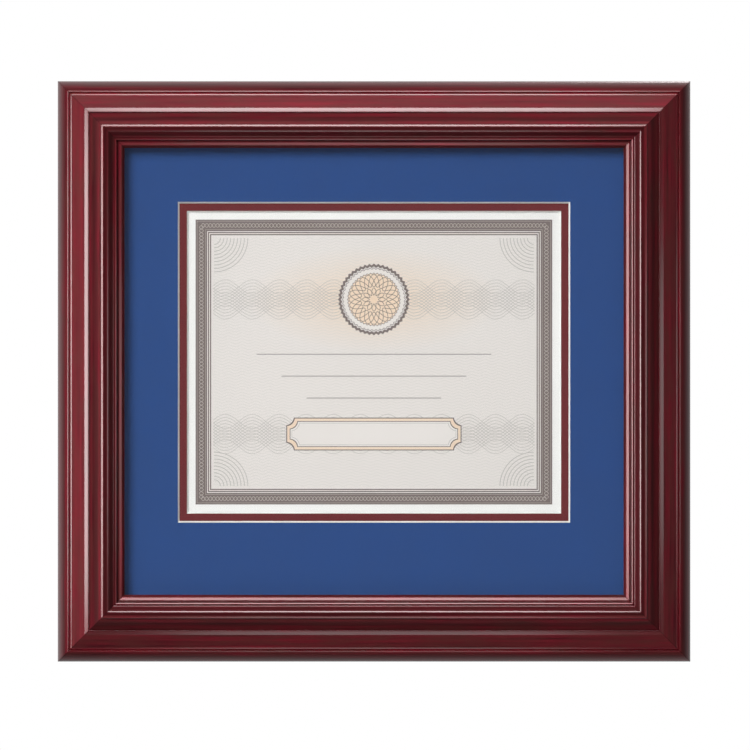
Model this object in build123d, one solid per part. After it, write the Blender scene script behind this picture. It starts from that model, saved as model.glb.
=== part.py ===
from build123d import *
from math import atan2, tan
import os

# Certificate frame: a mitred wood moulding round a glazed sheet in a double window mat.
# Millimetres. +X is right and +Z is up as the frame hangs, and the front faces -Y.
# The origin is the nail seat of the hanger, on the back plane of the moulding.

# Sheet and window mats
sheet_width = 254.0
sheet_height = 203.2
sheet_thickness = 0.3
sheet_cover_side = 7.45         # inner mat over the left and right edges of the sheet
sheet_cover_end = 4.9           # inner mat over the top and bottom edges of the sheet
mat_reveal = 5.8                # inner mat between the two window edges
mat_border = 38.75              # outer mat at its left and right sides
mat_border_top = 38.3
mat_border_bottom = 51.6
mat_thickness = 1.4
mat_bevel = 1.05                # width of the sloped cut round a window
mat_tape_thickness = 0.15
mat_tape_width = 12.0
mat_tape_inset = 6.0            # tape in from the outer edges of the mats

# Layers behind and in front of the mats
glass_thickness = 2.0
mount_board_thickness = 1.4
filler_thickness = 3.0
backing_thickness = 3.0
backing_recess = 0.2            # backing below the back plane of the moulding
pocket_paper = 0.1              # paper of the pockets that hold the corners of the sheet
pocket_leg = 10.0
pocket_room = 0.1               # play beside the edges of the sheet
hinge_tape_thickness = 0.1
hinge_tape_width = 22.0         # height of each half of the folded tape
hinge_tape_end_gap = 30.0       # bare board at each end of the tape

# Moulding
rebate_width = 5.5              # lip in front of the glass
rebate_clearance = 0.8          # play at each side of the glazed stack
lip_thickness = 5.0             # wood in front of the glass at the sight edge
outer_curve_radius = 12.0
moulding_members = [            # from the outer side in: width, rise, radius of the far corner
    ("outer curve", 6.3, 3.75, 0.2),
    ("outer bead", 0.65, 0.24, 0.2),
    ("quirk fall", 0.6, -1.15, 0.2),
    ("quirk rise", 0.8, 1.61, 0.2),
    ("band bead", 0.65, 0.24, 0.2),
    ("broad band", 8.4, 4.65, 6.0),
    ("nosing", 2.5, 0.91, 0.25),
    ("nosing drop", 0.2, -0.7, 0.2),
    ("cove floor", 3.2, 2.08, 6.0),
    ("cove wall", 2.65, 2.39, 0.2),
    ("fillet land", 1.75, 1.01, 0.2),
    ("crest riser", 0.25, 0.78, 0.2),
    ("crest outer edge", 1.1, 0.4, 0.25),
    ("crest", 2.7, 0.0, 0.25),
    ("crest inner edge", 0.75, -0.33, 0.25),
    ("crest slope", 3.0, -2.35, 0.15),
    ("step root", 0.4, -0.17, 0.15),
    ("step", 1.1, 0.0, 0.2),
    ("step edge", 0.7, -0.31, 0.2),
    ("step fall", 0.75, -2.0, 0.25),
    ("sight flat", 0.9, 0.0, 0.4),
    ("sight bead", 1.8, -0.8, 0.5),
    ("sight slope", 1.65, -1.68, 0.3),
]

# Corner nails, each a steel strip bent to a V across the mitre
v_nail_leg = 6.0
v_nail_strip = 0.5
v_nail_depth = 10.0
v_nail_recess = 0.3             # driven below the back plane
v_nail_insets = [12.0, 25.0]    # apex in from the outer sides, along the mitre

# Turn buttons and their screws
button_arm = 18.0               # screw centre to the centre of the round tip
button_width = 10.0
button_thickness = 1.2
button_edge_radius = 0.25
button_gap = 0.1                # play under the button and under the screw head
button_clearance = 0.05         # radial play round the screw
button_rail_inset = 8.0         # screw centre in from the back edge of the rebate
button_corner_inset = 108.0     # screw centre in from the outer corner, along the rail
screw_radius = 1.45
screw_depth = 12.0              # screw in the wood
screw_tip = 2.5
screw_head_radius = 3.1
screw_head_height = 1.7
screw_head_round = 0.8
screw_recess_width = 0.7
screw_recess_length = 3.4
screw_recess_depth = 0.9
fastener_clearance = 0.03       # radial play of a fixed fastener in its hole

# Hanger, its nails and the wall bumpers
hanger_drop = 19.0              # top of the frame to the nail seat
hanger_length = 46.0
hanger_height = 9.0
hanger_thickness = 0.9
hanger_foot = 9.0
hanger_ramp = 2.5
hanger_standoff = 2.1           # room behind the strip for the head of a wall nail
tooth_pitch = 3.2
tooth_depth = 1.6
tooth_notch_width = 2.8
hanger_nail_radius = 0.75
hanger_nail_depth = 9.0
hanger_nail_head_radius = 1.7
hanger_nail_head_height = 0.6
bumper_radius = 6.0
bumper_height = 3.6
bumper_chamfer = 0.6
bumper_inset = 16.0             # bumper centre in from the outer sides

# Sizes that follow from those above
cut_overrun = 1.0
inner_window_width = sheet_width - 2 * sheet_cover_side
inner_window_height = sheet_height - 2 * sheet_cover_end
outer_window_width = inner_window_width + 2 * mat_reveal
outer_window_height = inner_window_height + 2 * mat_reveal
stack_width = outer_window_width + 2 * mat_border
stack_height = outer_window_height + mat_border_top + mat_border_bottom

member_widths = [width for name, width, rise, radius in moulding_members]
member_rises = [rise for name, width, rise, radius in moulding_members]
moulding_width = sum(member_widths)
rebate_edge = moulding_width - rebate_width
frame_width = stack_width + 2 * rebate_clearance + 2 * rebate_edge
frame_height = stack_height + 2 * rebate_clearance + 2 * rebate_edge
frame_top = hanger_drop
frame_bottom = frame_top - frame_height
frame_right = frame_width / 2

# Each layer starts where the one behind it ends, measured forward from the back plane
filler_back = backing_recess + backing_thickness
mount_board_back = filler_back + filler_thickness
pocket_back = mount_board_back + mount_board_thickness
sheet_back = pocket_back + pocket_paper
inner_mat_back = sheet_back + sheet_thickness + pocket_paper
mat_tape_back = inner_mat_back + mat_thickness
outer_mat_back = mat_tape_back + mat_tape_thickness
glass_back = outer_mat_back + mat_thickness
rebate_depth = glass_back + glass_thickness
outer_corner_height = rebate_depth + lip_thickness - sum(member_rises)
mitre_block_depth = outer_corner_height + sum(rise for rise in member_rises if rise > 0)

# The stack stands on the floor of the bottom rebate, and the window follows the mat's borders
stack_bottom = frame_bottom + rebate_edge
stack_top = stack_bottom + stack_height
stack_middle = (stack_bottom + stack_top) / 2
window_middle = stack_bottom + mat_border_bottom + outer_window_height / 2

# The four rails: first corner, direction along the rail, direction in to the sight edge
rails = {
    "bottom_rail": ((-frame_right, 0, frame_bottom), (1, 0, 0), (0, 0, 1), frame_width),
    "right_stile": ((frame_right, 0, frame_bottom), (0, 0, 1), (-1, 0, 0), frame_height),
    "top_rail": ((frame_right, 0, frame_top), (-1, 0, 0), (0, 0, -1), frame_width),
    "left_stile": ((-frame_right, 0, frame_top), (0, 0, -1), (1, 0, 0), frame_height),
}


standing = (Align.CENTER, Align.CENTER, Align.MIN)


def rail_point(name, along, inward):
    """Point on the back plane of a rail."""
    corner, run, into, length = rails[name]
    return Vector(*corner) + Vector(*run) * along + Vector(*into) * inward


def forward_plane(centre):
    """Plane parallel to the wall that looks forward, out of the front of the frame."""
    return Plane(origin=centre, x_dir=(1, 0, 0), z_dir=(0, -1, 0))


def back_plane(centre, x_dir=(1, 0, 0)):
    """Plane parallel to the wall that looks back, towards it."""
    return Plane(origin=centre, x_dir=x_dir, z_dir=(0, 1, 0))


def standing_cylinder(radius, height):
    """Cylinder that stands on its plane."""
    return Cylinder(radius, height, align=standing)


def sheet_block(width, height, thickness, back, middle):
    """Flat sheet, centred left to right, with its back face at a height from the back plane."""
    return extrude(forward_plane((0, -back, middle)) * Rectangle(width, height), amount=thickness)


def moulding_section():
    """Section of the moulding: x runs in from the outer side, y runs forward from the back."""
    inward = 0.0
    height = outer_corner_height
    points = [(0, 0), (0, height)]
    radii = [0, outer_curve_radius]
    for name, width, rise, radius in moulding_members:
        inward += width
        height += rise
        points.append((inward, height))
        radii.append(radius)
    points += [(moulding_width, rebate_depth), (rebate_edge, rebate_depth), (rebate_edge, 0)]
    radii += [0, 0, 0]
    return make_face(FilletPolyline(*points, radius=radii, close=True))


def make_rail(name):
    """One length of moulding, mitred at both ends."""
    corner, run, into, length = rails[name]
    bar = extrude(Plane(origin=corner, x_dir=into, z_dir=run) * moulding_section(), amount=length)
    mitre = Polyline(
        (0, 0),
        (length, 0),
        (length - moulding_width, moulding_width),
        (moulding_width, moulding_width),
        close=True,
    )
    face = Plane(origin=corner, x_dir=run, z_dir=(0, -1, 0)) * make_face(mitre)
    return bar & extrude(face, amount=mitre_block_depth)


def v_nail_blank(name, inset, depth):
    """V-shaped strip across the mitre at the first corner of a rail, from the back plane forward."""
    corner, run, into, length = rails[name]
    plane = Plane(origin=corner, x_dir=run, z_dir=(0, -1, 0))
    leg = Polyline(
        (inset, inset),
        (inset + v_nail_leg, inset),
        (inset + v_nail_leg, inset + v_nail_strip),
        (inset + v_nail_strip, inset + v_nail_strip),
        (inset + v_nail_strip, inset + v_nail_leg),
        (inset, inset + v_nail_leg),
        close=True,
    )
    return extrude(plane * make_face(leg), amount=depth)


def make_v_nails():
    """Two V-nails in each corner, driven a little below the back plane, and the slots that they cut."""
    nails = []
    slots = []
    total = v_nail_recess + v_nail_depth
    for name in rails:
        for inset in v_nail_insets:
            slot = v_nail_blank(name, inset, total)
            slots.append(slot)
            nails.append(slot - v_nail_blank(name, inset, v_nail_recess))
    return nails, slots


def make_board(thickness, back):
    """Full-size layer of the stack, which fills the rebate with play all round but below."""
    return sheet_block(stack_width, stack_height, thickness, back, stack_middle)


def window_cut(width, height, back):
    """Cutter for a bevelled window whose front edge has this width and height."""
    def outline(forward):
        grow = 2 * (forward - back - mat_thickness) * mat_bevel / mat_thickness
        return forward_plane((0, -forward, window_middle)) * Rectangle(width + grow, height + grow)

    return loft([outline(back - cut_overrun), outline(back + mat_thickness + cut_overrun)], ruled=True)


def make_mat(window_width, window_height, back):
    """Mat board with a window cut on a slope, wider at the front."""
    return make_board(mat_thickness, back) - window_cut(window_width, window_height, back)


def make_mat_tape():
    """Four strips of tape between the mats, near their outer edges."""
    outer_half = stack_width / 2 - mat_tape_inset
    side_height = stack_height - 2 * mat_tape_inset - 2 * mat_tape_width
    edge_reach = stack_height / 2 - mat_tape_inset - mat_tape_width / 2
    side_reach = outer_half - mat_tape_width / 2
    strips = []
    for side in (-1, 1):
        level = stack_middle + side * edge_reach
        strips.append(sheet_block(2 * outer_half, mat_tape_width, mat_tape_thickness, mat_tape_back, level))
        upright = sheet_block(mat_tape_width, side_height, mat_tape_thickness, mat_tape_back, stack_middle)
        strips.append(Pos(side * side_reach, 0, 0) * upright)
    return strips


def make_pockets():
    """Folded paper pockets on the mount board, one over each corner of the sheet."""
    pockets = []
    thickness = inner_mat_back - pocket_back
    room = sheet_block(
        sheet_width + 2 * pocket_room,
        sheet_height + 2 * pocket_room,
        sheet_thickness,
        sheet_back,
        window_middle,
    )
    reach = pocket_room + pocket_paper
    for side in (-1, 1):
        for end in (-1, 1):
            corner = Vector(
                side * (sheet_width / 2 + reach),
                -pocket_back,
                window_middle + end * (sheet_height / 2 + reach),
            )
            triangle = Polyline((0, 0), (-side * pocket_leg, 0), (0, -end * pocket_leg), close=True)
            fold = extrude(forward_plane(corner) * make_face(triangle), amount=thickness)
            pockets.append(fold - room)
    return pockets


def make_hinge_tape():
    """Tape folded along the top edge, half on the inner mat and half on the mount board."""
    gap = inner_mat_back - pocket_back
    length = stack_width - 2 * hinge_tape_end_gap
    middle = stack_top - hinge_tape_width / 2
    fold = sheet_block(length, hinge_tape_width, gap, pocket_back, middle)
    inside = sheet_block(
        length + 2 * cut_overrun,
        hinge_tape_width,
        gap - 2 * hinge_tape_thickness,
        pocket_back + hinge_tape_thickness,
        middle - hinge_tape_thickness,
    )
    return fold - inside


def button_places():
    """Node name, screw centre on the back plane and arm direction of each turn button."""
    ends = {
        "top_rail": ("turn_button_top_right", "turn_button_top_left"),
        "bottom_rail": ("turn_button_bottom_left", "turn_button_bottom_right"),
        "left_stile": ("turn_button_left_upper", "turn_button_left_lower"),
        "right_stile": ("turn_button_right_lower", "turn_button_right_upper"),
    }
    places = {}
    for rail, names in ends.items():
        corner, run, into, length = rails[rail]
        for node, along in zip(names, (button_corner_inset, length - button_corner_inset)):
            places[node] = (rail, rail_point(rail, along, rebate_edge - button_rail_inset), into)
    return places


def make_button(centre, arm):
    """Flat steel turn button, round at both ends, with its pivot hole near one end."""
    plane = back_plane(centre + Vector(0, button_gap, 0), arm)
    outline = Pos(button_arm / 2, 0) * SlotCenterToCenter(button_arm, button_width)
    plate = extrude(outline, amount=button_thickness)
    plate = fillet(plate.edges().filter_by(Plane.XY), button_edge_radius)
    hole = Cylinder(screw_radius + button_clearance, button_thickness + 2 * cut_overrun)
    return plane * (plate - Pos(0, 0, button_thickness / 2) * hole)


def make_screw(centre):
    """Round-head screw with a crossed recess and a pointed tip, through a button into the wood."""
    seat = button_thickness + 2 * button_gap
    shank_length = screw_depth - screw_tip + seat
    shank = Pos(0, 0, seat - shank_length) * standing_cylinder(screw_radius, shank_length)
    tip = Pos(0, 0, -screw_depth) * Cone(0, screw_radius, screw_tip, align=standing)
    head = Pos(0, 0, seat) * standing_cylinder(screw_head_radius, screw_head_height)
    head = fillet(head.edges().group_by(Axis.Z)[-1], screw_head_round)
    slot = Pos(0, 0, seat + screw_head_height - screw_recess_depth) * Box(
        screw_recess_length,
        screw_recess_width,
        screw_recess_depth + cut_overrun,
        align=standing,
    )
    return back_plane(centre) * (shank + tip + head - slot - Rot(0, 0, 90) * slot)


def fastener_hole(centre, radius, depth):
    """Hole from the back plane forward for a fastener of this radius."""
    hole = standing_cylinder(radius + fastener_clearance, depth + cut_overrun)
    return back_plane(centre) * Pos(0, 0, -depth) * hole


def hanger_nail_places():
    """Nail centres in the two feet of the hanger, on the back plane."""
    reach = (hanger_length - hanger_foot) / 2
    level = hanger_height / 2 - tooth_depth
    return [Vector(-reach, 0, level), Vector(reach, 0, level)]


def make_hanger():
    """Sawtooth strip: feet flat on the rail, a raised middle and notches along its lower edge."""
    half = hanger_length / 2
    raised = half - hanger_foot - hanger_ramp
    shift = hanger_thickness * tan(atan2(hanger_standoff, hanger_ramp) / 2)
    right = [
        (raised, hanger_standoff),
        (half - hanger_foot, 0),
        (half, 0),
        (half, hanger_thickness),
        (half - hanger_foot + shift, hanger_thickness),
        (raised + shift, hanger_standoff + hanger_thickness),
    ]
    outline = right + [(-x, y) for x, y in reversed(right)]
    section = make_face(Polyline(*outline, close=True))
    strip = extrude(Pos(0, 0, -tooth_depth) * section, amount=hanger_height)
    side_notches = int((raised - tooth_notch_width / 2) // tooth_pitch)
    depth = hanger_standoff + hanger_thickness + cut_overrun
    slope = tooth_notch_width / 2 / tooth_depth
    wide = tooth_notch_width / 2 + slope * cut_overrun
    low = -tooth_depth - cut_overrun
    notch = Polyline((0, 0), (wide, low), (-wide, low), close=True)
    for step in range(-side_notches, side_notches + 1):
        plane = forward_plane((step * tooth_pitch, depth, 0))
        strip -= extrude(plane * make_face(notch), amount=depth)
    for place in hanger_nail_places():
        strip -= back_plane(place) * Cylinder(hanger_nail_radius + fastener_clearance, depth)
    return strip


def make_hanger_nail(centre):
    """Small flat-head nail through a foot of the hanger into the rail."""
    length = hanger_nail_depth + hanger_thickness
    shank = Pos(0, 0, -hanger_nail_depth) * standing_cylinder(hanger_nail_radius, length)
    head = Pos(0, 0, hanger_thickness) * standing_cylinder(hanger_nail_head_radius, hanger_nail_head_height)
    return back_plane(centre) * (shank + head)


def make_bumper(side):
    """Soft disc near a lower corner that keeps the frame off the wall."""
    disc = standing_cylinder(bumper_radius, bumper_height)
    disc = chamfer(disc.edges().group_by(Axis.Z)[-1], bumper_chamfer)
    centre = (side * (frame_right - bumper_inset), 0, frame_bottom + bumper_inset)
    return back_plane(centre) * disc


def make_nodes():
    """Every piece of the frame under its name."""
    nodes = {}
    v_nails, v_slots = make_v_nails()
    buttons = button_places()

    for name in rails:
        rail = make_rail(name)
        for slot in v_slots:
            rail -= slot
        for node, (carrier, centre, arm) in buttons.items():
            if carrier == name:
                rail -= fastener_hole(centre, screw_radius, screw_depth)
        if name == "top_rail":
            for place in hanger_nail_places():
                rail -= fastener_hole(place, hanger_nail_radius, hanger_nail_depth)
        nodes[name] = rail
    nodes["corner_v_nails"] = Compound(children=v_nails)

    nodes["glazing"] = make_board(glass_thickness, glass_back)
    nodes["outer_mat"] = make_mat(outer_window_width, outer_window_height, outer_mat_back)
    nodes["inner_mat"] = make_mat(inner_window_width, inner_window_height, inner_mat_back)
    nodes["mat_tape"] = Compound(children=make_mat_tape())
    nodes["certificate"] = sheet_block(sheet_width, sheet_height, sheet_thickness, sheet_back, window_middle)
    nodes["mounting_corners"] = Compound(children=make_pockets())
    nodes["mount_board"] = make_board(mount_board_thickness, mount_board_back)
    nodes["hinge_tape"] = make_hinge_tape()
    nodes["filler_board"] = make_board(filler_thickness, filler_back)
    nodes["backing_board"] = make_board(backing_thickness, backing_recess)

    for node, (carrier, centre, arm) in buttons.items():
        nodes[node] = make_button(centre, arm)
    nodes["turn_button_screws"] = Compound(children=[make_screw(place[1]) for place in buttons.values()])
    nodes["hanger"] = make_hanger()
    nodes["hanger_nails"] = Compound(children=[make_hanger_nail(place) for place in hanger_nail_places()])
    nodes["wall_bumpers"] = Compound(children=[make_bumper(side) for side in (-1, 1)])
    return nodes


os.makedirs("parts", exist_ok=True)
for node, shape in make_nodes().items():
    export_step(shape, f"parts/{node}.step")
print("frame", round(frame_width, 2), "x", round(frame_height, 2), "moulding", round(moulding_width, 2))
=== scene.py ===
import math
from collections import namedtuple

import bmesh
import bpy
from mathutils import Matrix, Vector


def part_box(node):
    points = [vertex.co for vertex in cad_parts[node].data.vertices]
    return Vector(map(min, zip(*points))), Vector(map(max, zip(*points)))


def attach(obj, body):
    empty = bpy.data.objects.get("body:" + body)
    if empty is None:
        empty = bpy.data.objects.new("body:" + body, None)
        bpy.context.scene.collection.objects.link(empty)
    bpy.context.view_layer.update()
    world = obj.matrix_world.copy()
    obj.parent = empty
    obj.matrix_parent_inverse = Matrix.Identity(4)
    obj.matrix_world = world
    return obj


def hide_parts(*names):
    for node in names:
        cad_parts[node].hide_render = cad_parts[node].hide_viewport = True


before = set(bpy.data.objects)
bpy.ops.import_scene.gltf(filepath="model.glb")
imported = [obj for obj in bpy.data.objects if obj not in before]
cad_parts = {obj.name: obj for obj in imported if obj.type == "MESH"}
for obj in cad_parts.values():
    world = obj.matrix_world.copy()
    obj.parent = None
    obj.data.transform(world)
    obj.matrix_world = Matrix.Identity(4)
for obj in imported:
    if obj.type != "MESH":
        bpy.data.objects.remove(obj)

bl_info = {
    "name": "Certificate Frame",
    "version": (1, 0, 0),
    "blender": (4, 5, 0),
    "location": "View3D > Sidebar > Certificate Frame",
    "description": "Builds the looks of a glazed certificate frame around its solids",
    "category": "Add Mesh",
}

MM = 0.001
WELD = 1e-6                         # points nearer than this, in metres, are one point
FACE_FRONT = (math.pi / 2, 0, 0)    # turns a flat primitive to the front of the frame
FACE_BACK = (-math.pi / 2, 0, 0)

# Places read from the solids, in metres. The front of the frame faces -Y.
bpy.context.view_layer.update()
FRAME_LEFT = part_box("left_stile")[0].x
FRAME_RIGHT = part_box("right_stile")[1].x
FRAME_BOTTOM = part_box("bottom_rail")[0].z
FRAME_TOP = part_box("top_rail")[1].z
FRAME_MIDDLE = Vector(((FRAME_LEFT + FRAME_RIGHT) / 2, 0, (FRAME_BOTTOM + FRAME_TOP) / 2))
MOULDING_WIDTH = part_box("bottom_rail")[1].z - FRAME_BOTTOM
REBATE_DEPTH = -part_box("glazing")[0].y
REBATE_WIDTH = FRAME_BOTTOM + MOULDING_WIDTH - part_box("glazing")[0].z
SHEET_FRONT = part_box("certificate")[0].y
SHEET_MIDDLE = (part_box("certificate")[0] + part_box("certificate")[1]) / 2

# The moulding from its outer side in, in millimetres: width, rise towards the front, radius
# of the far corner and its segments, then the painted light and shade on the stain there
# (painted shade in the deep members, painted highlight on the bright lines) and how glossy the
# lacquer is.
Member = namedtuple("Member", "label width rise radius segments tone gloss")
MOULDING_MEMBERS = [Member(*row) for row in (
    ("outer curve", 6.3, 3.75, 0.2, 5, 0.62, 0.85),
    ("outer bead", 0.65, 0.24, 0.2, 6, 1.0, 0.6),
    ("quirk fall", 0.6, -1.15, 0.2, 5, 1.0, 0.6),
    ("quirk rise", 0.8, 1.61, 0.2, 5, 2.4, 0.8),
    ("band bead", 0.65, 0.24, 0.2, 4, 1.0, 1.0),
    ("broad band", 8.4, 4.65, 6.0, 8, 1.0, 1.0),
    ("nosing", 2.5, 0.91, 0.25, 6, 1.0, 1.0),
    ("nosing drop", 0.2, -0.7, 0.2, 5, 0.5, 0.5),
    ("cove floor", 3.2, 2.08, 6.0, 10, 0.7, 0.35),
    ("cove wall", 2.65, 2.39, 0.2, 4, 0.48, 0.2),
    ("fillet land", 1.75, 1.01, 0.2, 4, 1.05, 0.9),
    ("crest riser", 0.25, 0.78, 0.2, 5, 0.8, 0.9),
    ("crest outer edge", 1.1, 0.4, 0.25, 4, 1.4, 0.95),
    ("crest", 2.7, 0.0, 0.25, 4, 0.26, 0.55),
    ("crest inner edge", 0.75, -0.33, 0.25, 4, 0.8, 1.0),
    ("crest slope", 3.0, -2.35, 0.15, 4, 0.33, 0.5),
    ("step root", 0.4, -0.17, 0.15, 4, 0.65, 0.55),
    ("step", 1.1, 0.0, 0.2, 4, 0.28, 0.12),
    ("step edge", 0.7, -0.31, 0.2, 5, 1.5, 0.8),
    ("step fall", 0.75, -2.0, 0.25, 6, 0.4, 0.45),
    ("sight flat", 0.9, 0.0, 0.4, 4, 0.65, 0.45),
    ("sight bead", 1.8, -0.8, 0.5, 4, 1.75, 0.64),
    ("sight slope", 1.65, -1.68, 0.3, 6, 0.6, 0.3),
)]
LIP_THICKNESS = 5.0                 # wood in front of the glass at the sight edge
OUTER_CURVE_RADIUS = 12.0
OUTER_CURVE_SEGMENTS = 24

# The print on the sheet, in millimetres
PRINT_SHIFT = (-0.09, 0.12)         # the print lies this much off the middle of the sheet
INK_FILM = 0.008                    # thickness of the ink
INK_LAYER = 0.012                   # each layer of print lies this much above the one below
BORDER_RULES = (0.55, 1.85)         # gaps from the border's band to its two rules
BORDER_RULE = 0.75                  # width of each of those rules
BORDER_MARGIN = 2.95                # from the border's band to the field inside its rules
SCOOP = 0.1                         # bevel profile that hollows a corner


# Handling

def let_go():
    """Leave edit mode and clear the selection, ready for the next piece."""
    if bpy.context.object and bpy.context.object.mode != "OBJECT":
        bpy.ops.object.mode_set(mode="OBJECT")
    bpy.ops.object.select_all(action="DESELECT")


def take(piece):
    """Select one piece alone, in object mode, as the active one."""
    let_go()
    piece.select_set(True)
    bpy.context.view_layer.objects.active = piece


def give_name(piece, name):
    """Name a piece and its mesh."""
    piece.name = name
    piece.data.name = name


def start_piece(kind, name, scale=(1, 1, 1), **options):
    """Add a primitive at its size and place and open it in edit mode, all selected."""
    let_go()
    getattr(bpy.ops.mesh, f"primitive_{kind}_add")(**options)
    piece = bpy.context.object
    give_name(piece, name)
    piece.scale = scale
    bpy.ops.object.transform_apply()
    bpy.ops.object.mode_set(mode="EDIT")
    bpy.ops.mesh.select_all(action="SELECT")
    return piece


def start_copy(node, name):
    """Open a merged copy of a solid in edit mode, all selected."""
    let_go()
    piece = bpy.data.objects.new(name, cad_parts[node].data.copy())
    give_name(piece, name)
    piece.data.materials.clear()
    bpy.context.collection.objects.link(piece)
    take(piece)
    bpy.ops.object.mode_set(mode="EDIT")
    weld()
    return piece


def pick(piece, kind, test):
    """Select only the verts, edges or faces in edit mode that pass a test."""
    bpy.ops.mesh.select_mode(type={"verts": "VERT", "edges": "EDGE", "faces": "FACE"}[kind])
    bpy.ops.mesh.select_all(action="DESELECT")
    mesh = bmesh.from_edit_mesh(piece.data)
    found = [part for part in getattr(mesh, kind) if test(part)]
    if not found:
        raise RuntimeError(f"{piece.name}: nothing to select")
    for part in found:
        part.select_set(True)
    bmesh.update_edit_mesh(piece.data)


def pick_all_faces():
    """Select everything in edit mode as faces."""
    bpy.ops.mesh.select_mode(type="FACE")
    bpy.ops.mesh.select_all(action="SELECT")


def draw_out(way):
    """Extrude what is selected along a vector."""
    bpy.ops.mesh.extrude_region_move(TRANSFORM_OT_translate={"value": way})


def round_off(offset, segments, affect, profile=0.5):
    """Round the selected corners or edges."""
    bpy.ops.mesh.bevel(offset=offset, segments=segments, profile=profile, affect=affect,
                       clamp_overlap=False)


def weld(distance=WELD):
    """Merge the doubled points of the piece in edit mode."""
    bpy.ops.mesh.select_all(action="SELECT")
    bpy.ops.mesh.remove_doubles(threshold=distance)


def face_out():
    """Turn all faces of the piece in edit mode outwards."""
    bpy.ops.mesh.select_all(action="SELECT")
    bpy.ops.mesh.normals_make_consistent(inside=False)


def modifier(piece, kind, **settings):
    """Add a modifier to the active piece and apply it."""
    bpy.ops.object.modifier_add(type=kind)
    added = piece.modifiers[-1]
    for name, value in settings.items():
        setattr(added, name, value)
    bpy.ops.object.modifier_apply(modifier=added.name)


def cut(piece, tool):
    """Cut the shape of a tool out of a piece."""
    take(piece)
    modifier(piece, "BOOLEAN", operation="DIFFERENCE", solver="EXACT", object=tool)


def copy_piece(piece, name, place, degrees):
    """A copy with its own mesh, turned about Y and moved."""
    take(piece)
    bpy.ops.object.duplicate(linked=False)
    twin = bpy.context.object
    give_name(twin, name)
    twin.rotation_euler = (0, math.radians(degrees), 0)
    twin.location = place
    bpy.ops.object.transform_apply()
    return twin


def join_pieces(name, pieces):
    """Make one object of several."""
    take(pieces[0])
    for piece in pieces[1:]:
        piece.select_set(True)
    bpy.ops.object.join()
    joined = bpy.context.object
    give_name(joined, name)
    return joined


def coat(piece, *materials):
    """Add materials to a piece."""
    for material in materials:
        piece.data.materials.append(material)


def dress(node, material):
    """Put a material on a solid that shows as it is."""
    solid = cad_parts[node]
    solid.data.materials.clear()
    coat(solid, material)


def finish_piece(piece, body, node=None, angle=None):
    """Close a piece: its place in its mesh, its faces smoothed, riding on its body."""
    take(piece)
    bpy.ops.object.transform_apply()
    if angle is not None:
        bpy.ops.object.shade_smooth_by_angle(angle=math.radians(angle))
        modifier(piece, "WEIGHTED_NORMAL", keep_sharp=True)
    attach(piece, body)
    if node:
        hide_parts(node)


# Shader nodes

def new_material(name):
    """A node material with one principled shader and its output."""
    material = bpy.data.materials.new(name)
    material.use_nodes = True
    tree = material.node_tree
    tree.nodes.clear()
    shader = tree.nodes.new("ShaderNodeBsdfPrincipled")
    output = tree.nodes.new("ShaderNodeOutputMaterial")
    tree.links.new(shader.outputs["BSDF"], output.inputs["Surface"])
    return material, tree, shader


def join(tree, value, socket):
    """Link a socket to an input, or set the input to a plain value."""
    if isinstance(value, bpy.types.NodeSocket):
        tree.links.new(value, socket)
    else:
        socket.default_value = value


def wire(tree, node, **sockets):
    """Link or set a node's inputs by name, with _ for a space."""
    for name, value in sockets.items():
        join(tree, value, node.inputs[name.replace("_", " ")])


def put(tree, kind, settings=None, **sockets):
    """Add a node, set its properties, and link or set its inputs."""
    node = tree.nodes.new(kind)
    for name, value in (settings or {}).items():
        setattr(node, name, value)
    wire(tree, node, **sockets)
    return node


def sums(tree, operation, first, second=0.0):
    """One step of arithmetic between two values."""
    node = put(tree, "ShaderNodeMath", {"operation": operation})
    join(tree, first, node.inputs[0])
    join(tree, second, node.inputs[1])
    return node.outputs[0]


def times(tree, first, second):
    """The product of two values."""
    return sums(tree, "MULTIPLY", first, second)


def blend(tree, factor, first, second, kind="MIX"):
    """Mix two colours by a factor, through the colour sockets of a mix node."""
    node = put(tree, "ShaderNodeMix", {"data_type": "RGBA", "blend_type": kind})
    for index, value in ((0, factor), (6, first), (7, second)):
        join(tree, value, node.inputs[index])
    return node.outputs[2]


def span(tree, value, low, high, bottom=0.0, top=1.0):
    """Map a value from one range to another, clamped."""
    node = put(tree, "ShaderNodeMapRange", Value=value)
    for index, limit in enumerate((low, high, bottom, top), start=1):
        join(tree, limit, node.inputs[index])
    return node.outputs[0]


def noise(tree, place, scale, detail, roughness=0.5, distortion=0.0, stretch=None):
    """Noise over a place, stretched along its axes where asked."""
    if stretch:
        place = put(tree, "ShaderNodeMapping", Vector=place, Scale=stretch).outputs[0]
    return put(tree, "ShaderNodeTexNoise", Vector=place, Scale=scale, Detail=detail,
               Roughness=roughness, Distortion=distortion).outputs[0]


def own_place(tree):
    """Place on a piece in its own coordinates."""
    return put(tree, "ShaderNodeTexCoord").outputs["Object"]


def attribute(tree, name):
    """A vector that the mesh carries."""
    return put(tree, "ShaderNodeAttribute", {"attribute_name": name}).outputs["Vector"]


def axes(tree, vector):
    """The X, Y and Z of a vector."""
    return put(tree, "ShaderNodeSeparateXYZ", Vector=vector).outputs


def relief(tree, height, strength, distance=0.1 * MM):
    """Normals of a shallow relief."""
    bump = put(tree, "ShaderNodeBump", Height=height, Strength=strength, Distance=distance)
    return bump.outputs[0]


def choose(tree, factor, first, second):
    """Show the first shader, or the second where the factor is 1."""
    choice = put(tree, "ShaderNodeMixShader", Fac=factor)
    join(tree, first.outputs[0], choice.inputs[1])
    join(tree, second.outputs[0], choice.inputs[2])
    output = next(node for node in tree.nodes if node.type == "OUTPUT_MATERIAL")
    join(tree, choice.outputs[0], output.inputs["Surface"])


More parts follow.
